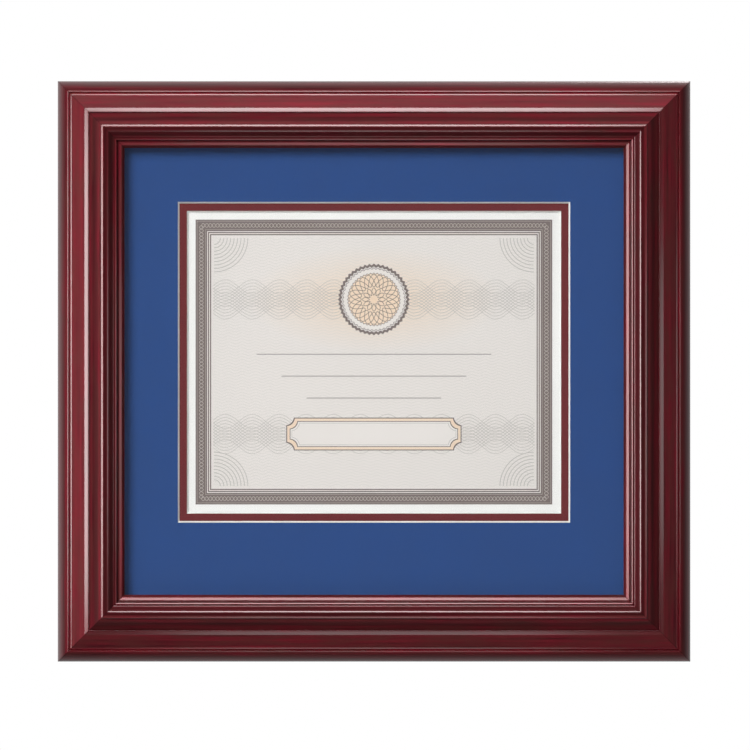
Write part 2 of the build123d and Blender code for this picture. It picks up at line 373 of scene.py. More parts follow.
def srgb(red, green, blue):
    """Linear colour from the 0 to 255 values that a paint chart gives."""
    def linear(value):
        value /= 255
        return value / 12.92 if value <= 0.04045 else ((value + 0.055) / 1.055) ** 2.4
    return (linear(red), linear(green), linear(blue))


def opaque(colour):
    """A colour with full alpha."""
    return (*colour, 1.0)


def scaled(colour, share):
    """A colour at a share of its lightness."""
    return tuple(share * part for part in colour)


# Shared effects

def start_effect(name, inputs, outputs):
    """A shader node group, with its inputs and outputs to build between."""
    group = bpy.data.node_groups.new(name, "ShaderNodeTree")
    for label, kind in inputs.items():
        group.interface.new_socket(label, in_out="INPUT", socket_type=kind)
    for label in outputs:
        group.interface.new_socket(label, in_out="OUTPUT", socket_type="NodeSocketFloat")
    source = group.nodes.new("NodeGroupInput")
    sink = group.nodes.new("NodeGroupOutput")
    return group, source.outputs, sink.inputs


def wood_grain(name):
    """Streaks, pores and mottle of wood that runs along X of its vector."""
    group, source, sink = start_effect(name, {"Vector": "NodeSocketVector"},
                                       ("Streak", "Pores", "Mottle"))
    for label, stretch, detail, roughness, low, high in (
            ("Streak", (9.0, 420.0, 420.0), 4.0, 0.6, 0.3, 0.7),
            ("Pores", (110.0, 2600.0, 2600.0), 1.0, 0.5, 0.6, 0.72),
            ("Mottle", (42.0, 260.0, 260.0), 3.0, 0.5, 0.3, 0.7)):
        figure = noise(group, source["Vector"], 1.0, detail, roughness, stretch=stretch)
        join(group, span(group, figure, low, high), sink[label])
    return group


def pulp_fibre(name):
    """Short fibres and slow clouding of paper, board and felt."""
    group, source, sink = start_effect(
        name, {"Vector": "NodeSocketVector", "Fineness": "NodeSocketFloat"}, ("Fibre", "Cloud"))
    fine = noise(group, source["Vector"], source["Fineness"], 3.0, 0.6, distortion=0.6)
    slow = noise(group, source["Vector"], times(group, source["Fineness"], 0.014), 3.0)
    join(group, span(group, fine, 0.32, 0.68), sink["Fibre"])
    join(group, span(group, slow, 0.32, 0.68), sink["Cloud"])
    return group


def metal_film(name):
    """Fine drawn scratches and a cloudy film on plated steel."""
    group, source, sink = start_effect(
        name, {"Vector": "NodeSocketVector", "Fineness": "NodeSocketFloat"}, ("Scratch", "Film"))
    lines = noise(group, source["Vector"], source["Fineness"], 4.0, 0.65,
                  stretch=(1.0, 1.0, 9.0))
    clouds = noise(group, source["Vector"], times(group, source["Fineness"], 0.22), 3.0)
    join(group, span(group, lines, 0.35, 0.65), sink["Scratch"])
    join(group, span(group, clouds, 0.35, 0.65), sink["Film"])
    return group


EFFECTS = {"wood_grain": wood_grain, "pulp_fibre": pulp_fibre, "metal_film": metal_film}


def effect(tree, name, **sockets):
    """Place a shared effect in a material, building it on its first use."""
    node = tree.nodes.new("ShaderNodeGroup")
    node.node_tree = bpy.data.node_groups.get(name) or EFFECTS[name](name)
    wire(tree, node, **sockets)
    return node.outputs


# Finishes

def member_ramp(tree, across):
    """Painted light and shade, and the gloss, of the moulding's members, each at its place across
    the width.
    """
    ramp = put(tree, "ShaderNodeValToRGB", Fac=across)
    stops = ramp.color_ramp.elements
    total = sum(member.width for member in MOULDING_MEMBERS)
    reached = 0.0
    for member in MOULDING_MEMBERS:
        stop = stops.new((reached + 0.5 * member.width) / total)
        stop.color = (member.tone, member.tone, member.tone, member.gloss)
        reached += member.width
    stops[0].color = stops[1].color
    stops[-1].color = stops[-2].color
    return ramp.outputs


def mitre_joint(tree):
    """Mask of the hairline joint where two lengths of moulding meet."""
    ends = axes(tree, attribute(tree, "mitre"))
    nearest = sums(tree, "MINIMUM", ends["X"], ends["Y"])
    return span(tree, nearest, 0.08 * MM, 0.35 * MM, 0.75, 0.0)


def lacquered_wood(look):
    """Cherry-stained wood under clear lacquer, with painted shade in the deep members and painted
    highlights on the bright ones.
    """
    material, tree, shader = new_material("lacquered_cherry_wood")
    place = attribute(tree, "grain")
    grain = effect(tree, "wood_grain", Vector=place)
    members = member_ramp(tree, sums(tree, "DIVIDE", axes(tree, place)["Y"], MOULDING_WIDTH))
    joint = mitre_joint(tree)
    colour = blend(tree, grain["Streak"], opaque(look.stain_dark), opaque(look.stain_light))
    colour = blend(tree, times(tree, grain["Mottle"], 0.9), colour, opaque(look.stain_brown))
    colour = blend(tree, times(tree, grain["Pores"], 0.25), colour, (0.01, 0.002, 0.002, 1.0))
    # multiply in the painted shade of the deep members and the painted highlights on the bright ones
    colour = blend(tree, 1.0, colour, members["Color"], "MULTIPLY")
    colour = blend(tree, joint, colour, (0.004, 0.001, 0.001, 1.0))
    wire(tree, shader, Base_Color=colour,
         Roughness=span(tree, grain["Streak"], 0, 1, 0.40, 0.48),
         Specular_IOR_Level=0.7, Specular_Tint=(1.0, 0.13, 0.17, 1.0),
         Coat_Weight=times(tree, members["Alpha"], sums(tree, "SUBTRACT", 1.0, joint)),
         Coat_Roughness=look.lacquer_roughness, Coat_IOR=1.5)
    return material


def raw_wood():
    """Bare pale wood on the back of the moulding."""
    material, tree, shader = new_material("bare_wood_back")
    grain = effect(tree, "wood_grain", Vector=attribute(tree, "grain"))
    colour = blend(tree, grain["Streak"], (0.30, 0.16, 0.075, 1), (0.47, 0.29, 0.155, 1))
    colour = blend(tree, times(tree, grain["Mottle"], 0.4), colour, (0.36, 0.20, 0.10, 1))
    colour = blend(tree, times(tree, grain["Pores"], 0.35), colour, (0.16, 0.08, 0.035, 1))
    colour = blend(tree, mitre_joint(tree), colour, (0.05, 0.022, 0.01, 1))
    wire(tree, shader, Base_Color=colour, Roughness=0.75,
         Normal=relief(tree, grain["Streak"], 0.15, 0.2 * MM))
    return material


def pulp_board(name, dark, light, fineness, roughness, bump):
    """Paper, board or felt: two tones mixed by its fibres and clouding."""
    material, tree, shader = new_material(name)
    pulp = effect(tree, "pulp_fibre", Vector=own_place(tree), Fineness=fineness)
    mix = sums(tree, "ADD", times(tree, pulp["Fibre"], 0.65), times(tree, pulp["Cloud"], 0.35))
    wire(tree, shader, Base_Color=blend(tree, mix, opaque(dark), opaque(light)),
         Roughness=span(tree, pulp["Cloud"], 0, 1, roughness - 0.06, roughness + 0.06),
         Specular_IOR_Level=0.2, Normal=relief(tree, pulp["Fibre"], bump))
    return material


def mat_paper(name, colour):
    """Coloured face paper of a mat board."""
    return pulp_board(name, scaled(colour, 0.9), scaled(colour, 1.03), 2300.0, 0.85, 0.15)


def ink(name, colour):
    """Printing ink that lets a little of the paper's fibre through."""
    pale = tuple(part + 0.06 * (1 - part) for part in colour)
    return pulp_board(f"print_{name}_ink", colour, pale, 1500.0, 0.7, 0.05)


def field_tint(look, plan):
    """Tinted paper ground with a warm bloom behind the seal."""
    material, tree, shader = new_material("print_field_tint")
    place = own_place(tree)
    pulp = effect(tree, "pulp_fibre", Vector=place, Fineness=1500.0)
    ground = blend(tree, pulp["Fibre"], opaque(scaled(look.field_colour, 0.97)),
                   opaque(look.field_colour))
    seal = print_place(0, plan.seal_up, layer=0)
    centre = put(tree, "ShaderNodeMapping", Vector=place, Location=(-seal.x, 0, -seal.z))
    flat = axes(tree, centre.outputs[0])
    wide = times(tree, flat["X"], 0.42)
    reach = sums(tree, "SQRT", sums(tree, "ADD", times(tree, wide, wide),
                                    times(tree, flat["Z"], flat["Z"])))
    bloom = span(tree, reach, 8 * MM, 34 * MM, 0.7, 0.0)
    wire(tree, shader, Base_Color=blend(tree, bloom, ground, opaque(look.bloom_colour)),
         Roughness=0.75, Specular_IOR_Level=0.2, Normal=relief(tree, pulp["Fibre"], 0.05))
    return material


def plated_metal(name, dark, light, fineness, roughness):
    """Plated steel with drawn scratches under a cloudy film."""
    material, tree, shader = new_material(name)
    film = effect(tree, "metal_film", Vector=own_place(tree), Fineness=fineness)
    mix = sums(tree, "ADD", times(tree, film["Film"], 0.6), times(tree, film["Scratch"], 0.4))
    wire(tree, shader, Base_Color=blend(tree, mix, opaque(dark), opaque(light)),
         Roughness=span(tree, mix, 0, 1, roughness + 0.1, roughness - 0.06), Metallic=1.0,
         Normal=relief(tree, film["Scratch"], 0.08))
    return material


def clear_glass():
    """Clear picture glass that lets the lamps through to the mats."""
    material, tree, shader = new_material("clear_picture_glass")
    ripple = noise(tree, own_place(tree), 6.0, 1.0)
    tint = blend(tree, ripple, (0.985, 0.995, 0.99, 1), (0.995, 1.0, 0.998, 1))
    wire(tree, shader, Base_Color=tint, Roughness=0.0, IOR=1.5, Transmission_Weight=1.0)
    through = put(tree, "ShaderNodeBsdfTransparent", Color=(0.97, 0.98, 0.975, 1.0))
    rays = put(tree, "ShaderNodeLightPath")
    choose(tree, rays.outputs["Is Shadow Ray"], shader, through)
    return material


# The moulding

def moulding_outline():
    """Corners of the moulding's section in metres: (inward, forward), radius, segments."""
    rise = sum(member.rise for member in MOULDING_MEMBERS)
    inward, forward = 0.0, REBATE_DEPTH + (LIP_THICKNESS - rise) * MM
    corners = [((inward, forward), OUTER_CURVE_RADIUS * MM, OUTER_CURVE_SEGMENTS)]
    for member in MOULDING_MEMBERS:
        inward += member.width * MM
        forward += member.rise * MM
        corners.append(((inward, forward), member.radius * MM, member.segments))
    rebate = inward - REBATE_WIDTH
    for place in ((inward, REBATE_DEPTH), (rebate, REBATE_DEPTH), (rebate, 0.0), (0.0, 0.0)):
        corners.append((place, 0.0, 0))
    return corners


def nail_slot_cutter():
    """A merged copy of the corner nails, stretched out past the back of the moulding."""
    cutter = start_copy("corner_v_nails", "nail_slot_cutter")
    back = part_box("corner_v_nails")[1].y
    pick(cutter, "verts", lambda v: v.co.y > back - 0.1 * MM)
    bpy.ops.transform.translate(value=(0, 1.0 * MM - back, 0))
    let_go()
    return cutter


def draw_section(piece, outline, places):
    """Draw the moulding's section from one point, fill it and round its corners."""
    bpy.ops.mesh.select_mode(type="VERT")
    bpy.ops.mesh.merge(type="CENTER")
    bpy.ops.transform.translate(value=places[0])
    for here, there in zip(places, places[1:]):
        draw_out(there - here)
    bpy.ops.mesh.select_all(action="SELECT")
    bpy.ops.mesh.edge_face_add()
    for index, (point, radius, segments) in enumerate(outline):
        if not radius:
            continue
        here = Vector(point)
        before = Vector(outline[index - 1][0])
        after = Vector(outline[(index + 1) % len(outline)][0])
        turn = math.pi - (before - here).angle(after - here)
        target = places[index]
        pick(piece, "verts", lambda v: (v.co - target).length < WELD)
        round_off(radius * math.tan(turn / 2), segments, "VERTICES")


def mark_grain(piece, start, run, into, length, shift):
    """Give a rail's mesh its place along the grain and its distance from the mitres."""
    grain = piece.data.attributes.new("grain", "FLOAT_VECTOR", "POINT")
    mitre = piece.data.attributes.new("mitre", "FLOAT_VECTOR", "POINT")
    for index, vertex in enumerate(piece.data.vertices):
        away = vertex.co - start
        along, inward = away.dot(run), away.dot(into)
        grain.data[index].vector = (along + shift, inward, -away.y)
        mitre.data[index].vector = (along - inward, length - along - inward, 0)


def build_rail(name, start, run, into, length, finishes, cutter):
    """One length of moulding: its section drawn, extruded along the run, slotted and mitred."""
    outline = moulding_outline()
    places = [start + into * point[0] + Vector((0, -point[1], 0))
              for point, radius, segments in outline]
    piece = start_piece("plane", name + "_wood", size=10 * MM)
    draw_section(piece, outline, places)
    pick_all_faces()
    draw_out(run * length)
    face_out()
    cut(piece, cutter)
    bpy.ops.object.mode_set(mode="EDIT")
    for corner, side in ((start, -1.0), (start + run * length, 1.0)):
        bpy.ops.mesh.select_all(action="SELECT")
        bpy.ops.mesh.bisect(plane_co=corner, plane_no=(run * side + into).normalized(),
                            use_fill=True, clear_outer=True, threshold=WELD)
    weld(2 * WELD)
    face_out()
    bpy.ops.object.mode_set(mode="OBJECT")
    mark_grain(piece, start, run, into, length, shift=0.7 * len(name))
    coat(piece, *finishes)
    for face in piece.data.polygons:
        inward = (face.center - start).dot(into)
        upright = max(abs(face.normal.dot(run)), abs(face.normal.dot(into))) > 0.999
        slot_wall = upright and 5 * MM < inward < MOULDING_WIDTH - REBATE_WIDTH - MM
        face.material_index = 1 if face.normal.y > 0.9 or slot_wall else 0
    finish_piece(piece, "root", name, angle=35)


# The mats

def build_mat(name, borders, bevel, front_gap, paper, core):
    """A mat board with a window cut through it on a slope, so that its core shows."""
    side, top, bottom = borders
    low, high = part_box(name)
    front = low.y + front_gap
    deep = high.y - front
    piece = start_piece("plane", name + "_board", scale=(high.x - low.x, high.z - low.z, 1),
                        size=1, rotation=FACE_FRONT,
                        location=((low.x + high.x) / 2, front, (low.z + high.z) / 2))
    bpy.ops.mesh.inset(thickness=side)
    for level, shift in ((low.z + side, bottom - side), (high.z - side, side - top)):
        pick(piece, "verts", lambda v: abs(v.co.z - level) < MM and abs(v.co.x) < high.x - MM)
        bpy.ops.transform.translate(value=(0, 0, shift))
    window_low = Vector((low.x + side, front, low.z + bottom))
    window_high = Vector((high.x - side, front, high.z - top))
    wide, tall = window_high.x - window_low.x, window_high.z - window_low.z
    middle = (window_low + window_high) / 2
    pick(piece, "faces", lambda f: (f.calc_center_median() - middle).length < MM)
    draw_out((0, deep, 0))
    bpy.ops.transform.resize(value=(1 - 2 * bevel / wide, 1, 1 - 2 * bevel / tall),
                             center_override=(middle.x, front + deep, middle.z))
    bpy.ops.mesh.delete(type="ONLY_FACE")

    def on_rim(edge):
        return all(min(abs(v.co.x - low.x), abs(v.co.x - high.x),
                       abs(v.co.z - low.z), abs(v.co.z - high.z)) < 10 * WELD
                   for v in edge.verts)
    pick(piece, "edges", on_rim)
    draw_out((0, deep, 0))
    pick(piece, "edges", lambda e: all(abs(v.co.y - front - deep) < WELD for v in e.verts))
    bpy.ops.mesh.bridge_edge_loops()
    face_out()
    bpy.ops.object.mode_set(mode="OBJECT")
    coat(piece, paper, core)
    for face in piece.data.polygons:
        face.material_index = 0 if face.normal.y < -0.9 else 1
    finish_piece(piece, "root", name)


# The print on the sheet, in millimetres from the middle of the sheet

class PrintPlan:
    """Main sizes of the printed design in millimetres."""

    def __init__(self, look):
        self.wide = look.border_width / MM
        self.tall = look.border_height / MM
        self.band = look.band / MM
        self.half_wide = self.wide / 2 - self.band - BORDER_MARGIN
        self.half_tall = self.tall / 2 - self.band - BORDER_MARGIN
        self.seal_up = look.seal_level / MM
        self.seal_radius = look.seal_radius / MM
        self.plaque_up = look.plaque_level / MM


def print_place(across, up, layer):
    """Point over the sheet, on a layer of print."""
    return Vector((SHEET_MIDDLE.x + (across + PRINT_SHIFT[0]) * MM,
                   SHEET_FRONT - layer * INK_LAYER * MM,
                   SHEET_MIDDLE.z + (up + PRINT_SHIFT[1]) * MM))


def flat_print(name, up, width, height, layer):
    """A flat rectangle of print, centred left to right and opened for shaping."""
    return start_piece("plane", name, scale=(width * MM, height * MM, 1), size=1,
                       rotation=FACE_FRONT, location=print_place(0, up, layer))


def ring_print(name, plan, inset, rim, layer):
    """A rectangular ring of print, in from the outside of the border."""
    piece = flat_print(name, 0, plan.wide - 2 * inset, plan.tall - 2 * inset, layer)
    bpy.ops.mesh.inset(thickness=rim * MM)
    bpy.ops.mesh.delete(type="FACE")
    return piece


def inset_rings(piece, rings, last):
    """Inset the selected face ring by ring, each ring with its own material."""
    for index, rim in rings + [(last, 0)]:
        mesh = bmesh.from_edit_mesh(piece.data)
        for face in mesh.faces:
            if face.select:
                face.material_index = index
        bmesh.update_edit_mesh(piece.data)
        if rim:
            bpy.ops.mesh.inset(thickness=rim * MM)


def ink_strip(points, width, layer, closed=False):
    """A printed line: a strip of grid laid along a path."""
    count = len(points)
    let_go()
    bpy.ops.mesh.primitive_grid_add(x_subdivisions=count - 1, y_subdivisions=1, size=1)
    strip = bpy.context.object
    half = width / 2
    right, left = [], []
    for index, (across, up) in enumerate(points):
        if closed:
            before, after = points[(index - 1) % (count - 1)], points[(index + 1) % (count - 1)]
        else:
            before, after = points[max(index - 1, 0)], points[min(index + 1, count - 1)]
        way = Vector((after[0] - before[0], after[1] - before[1])).normalized()
        right.extend(print_place(across + way.y * half, up - way.x * half, layer))
        left.extend(print_place(across - way.y * half, up + way.x * half, layer))
    strip.data.vertices.foreach_set("co", right + left)
    strip.data.update()
    return strip


def finish_print(piece, *inks):
    """Weld a flat print, give it the thickness of its ink and lay it on the sheet."""
    take(piece)
    bpy.ops.object.mode_set(mode="EDIT")
    weld()
    bpy.ops.object.mode_set(mode="OBJECT")
    coat(piece, *inks)
    modifier(piece, "SOLIDIFY", thickness=INK_FILM * MM, offset=-1.0)
    finish_piece(piece, "root")


def wave_path(middle, swing, length, half_width, step, phase=0.0):
    """A level wavy line across the sheet."""
    count = int(2 * half_width / step)
    points = []
    for index in range(count + 1):
        across = -half_width + 2 * half_width * index / count
        points.append((across, middle + swing * math.sin(2 * math.pi * across / length + phase)))
    return points


def braid_path(width, height, waves_across, waves_up, swing, steps):
    """One strand that winds round the middle line of the border, crossing at each corner."""
    corners = [Vector((-width / 2, -height / 2)), Vector((width / 2, -height / 2)),
               Vector((width / 2, height / 2)), Vector((-width / 2, height / 2))]
    points = []
    for index, corner in enumerate(corners):
        run = corners[(index + 1) % 4] - corner
        out = Vector((run.y, -run.x)).normalized()
        waves = waves_up if index % 2 else waves_across
        for step in range(waves * steps):
            share = step / (waves * steps)
            points.append(tuple(corner + run * share
                                + out * swing * math.sin(2 * math.pi * waves * share)))
    points.append(points[0])
    return points


def rosette_path(up, radius, swing, lobes, phase, count):
    """A closed line that swings in and out as it goes round the seal."""
    points = []
    for index in range(count):
        turn = 2 * math.pi * index / count
        reach = radius + swing * math.cos(lobes * turn + phase)
        points.append((reach * math.cos(turn), up + reach * math.sin(turn)))
    points.append(points[0])
    return points


def fan_path(corner_across, corner_up, radius, count):
    """A quarter ring in a corner of the field."""
    points = []
    for index in range(count + 1):
        turn = math.pi / 2 * index / count
        points.append((corner_across - math.copysign(radius, corner_across) * math.cos(turn),
                       corner_up - math.copysign(radius, corner_up) * math.sin(turn)))
    return points


def lay_border(plan, band_ink, braid_ink):
    """A broad band with two rules inside it, and a braid of two strands on the band."""
    rings = [ring_print("border_band", plan, 0, plan.band, layer=2)]
    for gap in BORDER_RULES:
        rings.append(ring_print("border_rule", plan, plan.band + gap, BORDER_RULE, layer=2))
    finish_print(join_pieces("print_border", rings), band_ink)
    strands = []
    for swing in (-1.35, 1.35):
        path = braid_path(plan.wide - plan.band, plan.tall - plan.band, waves_across=48,
                          waves_up=38, swing=swing, steps=10)
        strands.append(ink_strip(path, width=0.38, layer=3, closed=True))
    for inset in (0.85, plan.band - 1.1):
        strands.append(ring_print("braid_line", plan, inset, rim=0.25, layer=3))
    finish_print(join_pieces("print_braid", strands), braid_ink)


def lay_waves(plan, fine_ink, wave_ink):
    """Faint waves all over the field, and a bolder band at the seal and at the plaque."""
    half_width = plan.half_wide - 1
    fine = []
    rows = 84
    pitch = (2 * plan.half_tall - 4) / (rows - 1)
    for row in range(rows):
        path = wave_path((row - (rows - 1) / 2) * pitch, swing=0.7, length=plan.half_wide / 12,
                         half_width=half_width, step=1.45)
        fine.append(ink_strip(path, width=0.2, layer=2))
    finish_print(join_pieces("print_fine_waves", fine), fine_ink)
    bands = []
    rows, pitch = 9, 2.0
    for middle in (plan.plaque_up, plan.seal_up):
        for row in range(rows):
            for phase in (0, math.pi):
                path = wave_path(middle + (row - (rows - 1) / 2) * pitch, swing=4.6,
                                 length=plan.half_wide / 3, half_width=half_width, step=1.5,
                                 phase=phase)
                bands.append(ink_strip(path, width=0.26, layer=3))
    finish_print(join_pieces("print_wave_bands", bands), wave_ink)


def lay_fans(plan, wave_ink):
    """Nine quarter rings in each corner of the field."""
    across, up = plan.half_wide - 1.5, plan.half_tall - 1.5
    fans = []
    for side, end in ((-1, -1), (-1, 1), (1, -1), (1, 1)):
        for ring in range(9):
            path = fan_path(side * across, end * up, radius=4 + 2.2 * ring, count=24)
            fans.append(ink_strip(path, width=0.45, layer=4))
    finish_print(join_pieces("print_corner_fans", fans), wave_ink)


def lay_plaque(plan, inks):
    """A blank plaque with scooped corners, laid up from ever smaller plates."""
    width, height, scoop = 112.0, 21.0, 4.8
    plates = []
    inset = 0.0
    rims = (("rule", 0.6), ("warm", 1.6), ("rule", 0.45), ("plaque", 0.8), ("wave", 0.25),
            ("plaque", 0.0))
    for layer, (name, rim) in enumerate(rims, start=5):
        plate = flat_print("plaque_plate", plan.plaque_up, width - 2 * inset, height - 2 * inset,
                           layer)
        round_off(scoop * MM, 12, "VERTICES", profile=SCOOP)
        bpy.ops.object.mode_set(mode="OBJECT")
        coat(plate, inks[name])
        plates.append(plate)
        inset += rim
    finish_print(join_pieces("print_plaque", plates))


def lay_seal(plan, inks):
    """A notched round seal of rings, with a rosette of crossing loops inside it."""
    band, warm, pale = range(3)
    notches, notch_reach = 48, 0.95
    middle = print_place(0, plan.seal_up, layer=5)
    seal = start_piece("circle", "print_seal", vertices=2 * notches, fill_type="NGON",
                       radius=plan.seal_radius * MM, rotation=FACE_FRONT, location=middle)

    def in_notch(vertex):
        away = vertex.co - middle
        share = math.atan2(away.z, away.x) / (2 * math.pi) * notches
        return abs(share - math.floor(share) - 0.5) < 0.25
    pick(seal, "verts", in_notch)
    bpy.ops.transform.resize(value=(notch_reach,) * 3, center_override=middle)
    pick_all_faces()
    inset_rings(seal, [(band, 1.4), (pale, 0.5), (band, 0.35), (pale, 2.2), (band, 0.35)],
                last=warm)
    finish_print(seal, inks["band"], inks["warm"], inks["seal"])
    loops = []
    for turns, share, swing in ((4, 0.52, 0.17), (2, 0.22, 0.1)):
        for turn in range(turns):
            path = rosette_path(plan.seal_up, share * plan.seal_radius, swing * plan.seal_radius,
                                lobes=6, phase=2 * math.pi * turn / turns, count=180)
            loops.append(ink_strip(path, width=0.34, layer=6, closed=True))
    finish_print(join_pieces("print_rosette", loops), inks["rule"])


def lay_rules(rule_ink):
    """Three blank rules, each shorter than the one above."""
    rules = []
    for up, length in ((5.0, 150.0), (-9.0, 118.0), (-23.0, 86.0)):
        rules.append(flat_print("rule", up, length, height=0.4, layer=5))
    finish_print(join_pieces("print_rules", rules), rule_ink)


# The fittings on the back

def build_button(metal, size):
    """One stamped steel turn button, its pivot at the origin and its arm along X."""
    piece = start_piece("plane", "turn_button", size=1, rotation=FACE_BACK,
                        scale=(size.button_arm + size.button_width, size.button_width, 1),
                        location=(size.button_arm / 2, size.button_gap, 0))
    round_off(size.button_width / 2, 14, "VERTICES")
    weld()
    pick_all_faces()
    draw_out((0, size.button_thickness, 0))
    face_out()
    pick(piece, "edges", lambda e: abs(e.verts[0].co.y - e.verts[1].co.y) < WELD)
    round_off(size.button_edge, 3, "EDGES")
    hole = start_piece("cylinder", "pivot_hole", vertices=32, depth=8 * MM, rotation=FACE_BACK,
                       radius=size.screw_radius + size.pivot_play)
    cut(piece, hole)
    bpy.data.objects.remove(hole)
    coat(piece, metal)
    return piece


def build_screw(metal, size):
    """One round-head screw with a crossed recess, its seat at the origin, facing the back."""
    head = size.screw_head_height
    piece = start_piece("cylinder", "screw", vertices=48, radius=size.screw_head_radius,
                        depth=head, rotation=FACE_BACK, location=(0, head / 2, 0))
    pick(piece, "edges", lambda e: all(v.co.y > head - WELD for v in e.verts))
    round_off(size.screw_head_round, 6, "EDGES")
    pick(piece, "faces", lambda f: f.normal.y < -0.9)
    bpy.ops.mesh.inset(thickness=size.screw_head_radius - size.screw_radius)
    draw_out((0, -size.screw_shank, 0))
    draw_out((0, -size.screw_tip, 0))
    bpy.ops.mesh.merge(type="CENTER")
    deep, tall, taper = 0.9 * MM, 2.0 * MM, 0.75
    for turn in (0, math.pi / 2):
        slot = start_piece("cube", "recess", size=1, rotation=(0, turn, 0),
                           scale=(size.recess_length, tall, size.recess_width),
                           location=(0, head - deep + tall / 2, 0))
        pick(slot, "verts", lambda v: v.co.y < head)
        bpy.ops.transform.resize(value=(taper, 1, taper), center_override=(0, head - deep, 0))
        cut(piece, slot)
        bpy.data.objects.remove(slot)
    coat(piece, metal)
    return piece


def place_buttons(size, plate_metal, screw_metal):
    """A button and a screw at each pivot, each button pointing in over the backing board."""
    arms = {"top": ((0, 0, -1), 90), "bottom": ((0, 0, 1), -90),
            "left": ((1, 0, 0), 0), "right": ((-1, 0, 0), 180)}
    button = build_button(plate_metal, size)
    screw = build_screw(screw_metal, size)
    screws = []
    nodes = [name for name in sorted(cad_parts) if name.startswith("turn_button_")]
    nodes.remove("turn_button_screws")
    for index, node in enumerate(nodes):
        arm, degrees = arms[node.split("_")[2]]
        low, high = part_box(node)
        pivot = (low + high) / 2 - Vector(arm) * size.button_arm / 2
        pivot.y = 0
        plate = copy_piece(button, node + "_plate", pivot, degrees)
        finish_piece(plate, node, node, angle=30)
        seat = pivot + Vector((0, size.button_thickness + 2 * size.button_gap, 0))
        screws.append(copy_piece(screw, "screw_copy", seat, 37 * index))
    for pattern in (button, screw):
        bpy.data.objects.remove(pattern)
    finish_piece(join_pieces("turn_button_screw_set", screws), "root",
                 "turn_button_screws", angle=30)


def soften_solid(node, name, edge, metal):
    """A copy of a solid with its sharp edges eased."""
    piece = start_copy(node, name)
    bpy.ops.mesh.dissolve_limited(angle_limit=math.radians(1))
    bpy.ops.object.mode_set(mode="OBJECT")
    modifier(piece, "BEVEL", width=edge, segments=2, limit_method="ANGLE",
             angle_limit=math.radians(35), use_clamp_overlap=True)
    coat(piece, metal)
    finish_piece(piece, "root", node, angle=35)


def build_bumper(felt, centre, radius, height):
    """One soft felt disc with a rounded rim and a slightly rough face."""
    rim, tuft_size, tuft_depth = 0.6 * MM, 0.9 * MM, 0.35 * MM
    piece = start_piece("cylinder", "wall_bumper", vertices=64, radius=radius, depth=height,
                        rotation=FACE_BACK, location=(centre.x, height / 2, centre.z))
    pick(piece, "faces", lambda f: f.normal.y > 0.9)
    for share in (0.16, 0.2, 0.24, 0.32):
        bpy.ops.mesh.inset(thickness=share * radius)

    def on_rim(edge):
        return all(v.co.y > height - WELD and (v.co - centre).xz.length > radius - 0.1 * MM
                   for v in edge.verts)
    pick(piece, "edges", on_rim)
    round_off(rim, 4, "EDGES")
    bpy.ops.object.mode_set(mode="OBJECT")
    tufts = bpy.data.textures.new("felt_tufts", "CLOUDS")
    tufts.noise_scale = tuft_size
    modifier(piece, "DISPLACE", texture=tufts, texture_coords="LOCAL", strength=-tuft_depth,
             mid_level=0.0)
    coat(piece, felt)
    return piece


def place_bumpers(felt):
    """A felt disc at each lower corner of the back."""
    low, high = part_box("wall_bumpers")
    radius = (high.z - low.z) / 2
    discs = []
    for across in (low.x + radius, high.x - radius):
        discs.append(build_bumper(felt, Vector((across, 0, low.z + radius)), radius, high.y))
    finish_piece(join_pieces("wall_bumper_felts", discs), "root", "wall_bumpers",
                 angle=40)


# The stage

def lay_floor(drop=1.2, radius=4.0, glow=0.45):
    """A plain pale floor below the frame, paler to the camera and seen from above only."""
    let_go()
    bpy.ops.mesh.primitive_circle_add(vertices=64, radius=radius, fill_type="NGON",
                                      location=(0, 0, FRAME_BOTTOM - drop))
    floor = bpy.context.object
    give_name(floor, "floor")
    bpy.ops.object.transform_apply()
    material, tree, shader = new_material("pale_floor")
    seen = put(tree, "ShaderNodeLightPath").outputs["Is Camera Ray"]
    wire(tree, shader, Base_Color=(0.85, 0.85, 0.85, 1), Emission_Color=(1, 1, 1, 1),
         Emission_Strength=times(tree, seen, glow))
    below = put(tree, "ShaderNodeBsdfTransparent", Color=(1, 1, 1, 1))
    choose(tree, put(tree, "ShaderNodeNewGeometry").outputs["Backfacing"], shader, below)
    coat(floor, material)
    floor.visible_glossy = False


def lean(tree, way, across, up):
    """A value that grows evenly across and up."""
    return sums(tree, "ADD", times(tree, way["X"], across), times(tree, way["Z"], up))


def mirrored_room(tree, way):
    """What the lacquer mirrors: a pale room behind, a dark one in front, and soft glows."""
    rear = span(tree, way["Y"], -0.30, 0.40, 0.11, 1.0)
    room = times(tree, rear, sums(tree, "ADD", lean(tree, way, -0.24, 0.17), 0.55))
    glow_up = times(tree, span(tree, way["Z"], 0.55, 0.72, 0.0, 0.62),
                    span(tree, way["Z"], 0.80, 0.90, 1.0, 0.0))
    glow_left = times(tree, span(tree, way["X"], -0.55, -0.72, 0.0, 0.1),
                      span(tree, way["X"], -0.93, -0.99, 1.0, 0.0))
    glow_right = span(tree, way["X"], 0.55, 0.85, 0.0, 0.075)
    for glow in (glow_up, glow_left, glow_right):
        room = sums(tree, "MAXIMUM", room, glow)
    return room


